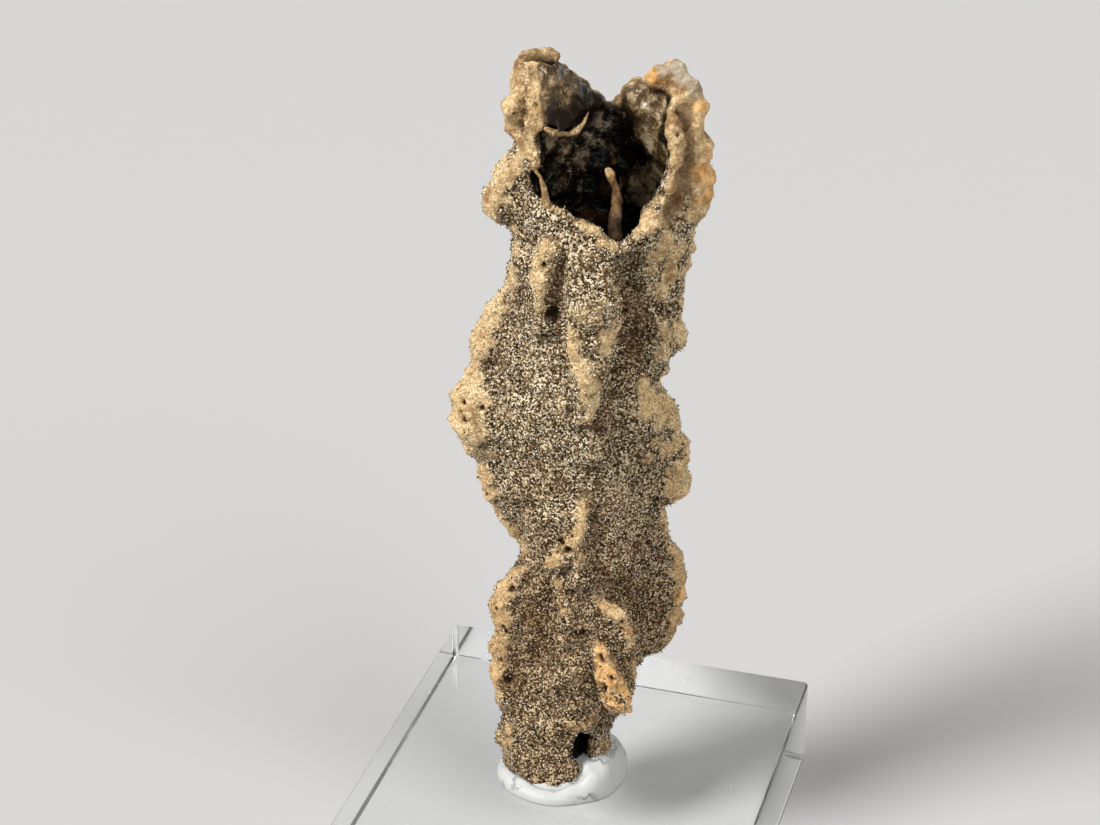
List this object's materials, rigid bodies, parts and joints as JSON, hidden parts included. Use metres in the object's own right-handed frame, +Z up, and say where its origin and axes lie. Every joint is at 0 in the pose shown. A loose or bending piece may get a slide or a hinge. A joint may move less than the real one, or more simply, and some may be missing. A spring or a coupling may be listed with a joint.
{
  "type": "fulgurite",
  "caption": "Hollow upright tube of lightning-fused sand with ragged wings, bedded in white putty on a clear acrylic display block.",
  "frame": {"origin": "centre of the block's underside", "axes": "+Z up along the tube, -Y out of the block's front face; the tube's open window faces between -Y and +X"},
  "size_m": [0.04, 0.04, 0.0853],
  "materials": {
    "fused_sand": "gritty fused sand outside, tan to grey-brown; dark glossy natural glass inside the bore",
    "white_putty": "soft kneaded white putty with faint grey smudges",
    "clear_acrylic": "polished clear acrylic with fine dust and hairline scratches"
  },
  "bodies": {
    "root": {"fulgurite": "fused_sand", "mounting_putty": "white_putty", "acrylic_block": "clear_acrylic"}
  },
  "joints": []
}
